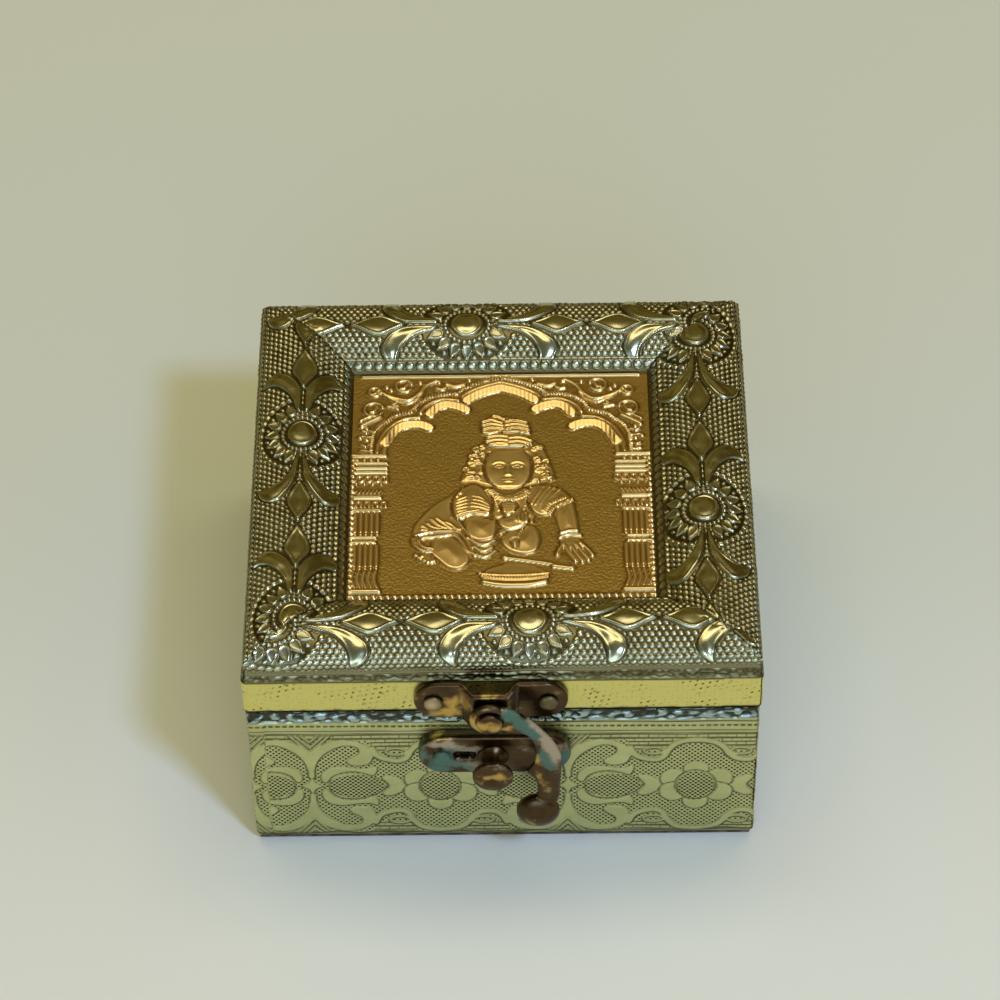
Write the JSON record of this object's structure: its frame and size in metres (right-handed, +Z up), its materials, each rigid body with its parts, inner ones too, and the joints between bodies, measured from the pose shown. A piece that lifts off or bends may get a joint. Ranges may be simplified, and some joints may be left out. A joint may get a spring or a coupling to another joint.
{
  "type": "embossed keepsake box",
  "caption": "Small square lidded box clad in embossed brass foil, with a convex moulding round a picture plaque, a swing hook clasp and butt hinges.",
  "frame": {"origin": "on the surface that the box stands on, under the middle of the carcass (the underside of the felt pad)", "axes": "+X to the viewer's right as seen from the clasp side, +Y from the clasp to the hinges, +Z up"},
  "size_m": [0.076, 0.0857, 0.0427],
  "materials": {
    "fibreboard": "plain fibreboard and wood",
    "moulding_foil": "embossed, antique satin",
    "band_foil": "bright satin",
    "side_foil": "shallow embossed, pale satin",
    "plaque": "embossed, copper gold",
    "velvet": "velvet pile",
    "felt": "matt felt",
    "card": "matt card",
    "clasp": "aged, with green patches",
    "hinge": "plain satin",
    "nail": "worn"
  },
  "bodies": {
    "base": {"base_felt": "felt", "floor_board": "fibreboard", "front_wall": "fibreboard", "back_wall": "fibreboard", "left_wall": "fibreboard", "right_wall": "fibreboard", "side_foil": "side_foil", "floor_lining": "velvet", "wall_lining": "velvet", "keeper_plate": "clasp", "keeper_stud": "clasp", "left_keeper_nail": "nail", "right_keeper_nail": "nail", "left_hinge_base_leaf": "hinge", "left_hinge_pin": "hinge", "left_inner_base_hinge_nail": "hinge", "left_outer_base_hinge_nail": "hinge", "right_hinge_base_leaf": "hinge", "right_hinge_pin": "hinge", "right_inner_base_hinge_nail": "hinge", "right_outer_base_hinge_nail": "hinge"},
    "lid": {"front_rail": "fibreboard", "back_rail": "fibreboard", "left_rail": "fibreboard", "right_rail": "fibreboard", "lid_panel": "fibreboard", "lid_lining": "velvet", "band_foil": "band_foil", "plaque_card": "card", "plaque": "plaque", "clasp_plate": "clasp", "pivot_rivet": "clasp", "left_clasp_nail": "nail", "right_clasp_nail": "nail", "front_moulding": "fibreboard", "front_moulding_foil": "moulding_foil", "right_moulding": "fibreboard", "right_moulding_foil": "moulding_foil", "back_moulding": "fibreboard", "back_moulding_foil": "moulding_foil", "left_moulding": "fibreboard", "left_moulding_foil": "moulding_foil", "left_hinge_lid_leaf": "hinge", "left_inner_lid_hinge_nail": "hinge", "left_outer_lid_hinge_nail": "hinge", "right_hinge_lid_leaf": "hinge", "right_inner_lid_hinge_nail": "hinge", "right_outer_lid_hinge_nail": "hinge"},
    "hook": {"hook": "clasp"}
  },
  "joints": [
    {"name": "lid_hinge", "type": "hinge", "parent": "base", "child": "lid", "pos_m": [0, 0.0399, 0.0299], "axis": [-1, 0, 0], "range_deg": [0, 180]},
    {"name": "hook_swing", "type": "hinge", "parent": "lid", "child": "hook", "pos_m": [-0.0019, -0.0424, 0.0333], "axis": [0, -1, 0], "range_deg": [-8.6, 285]}
  ]
}
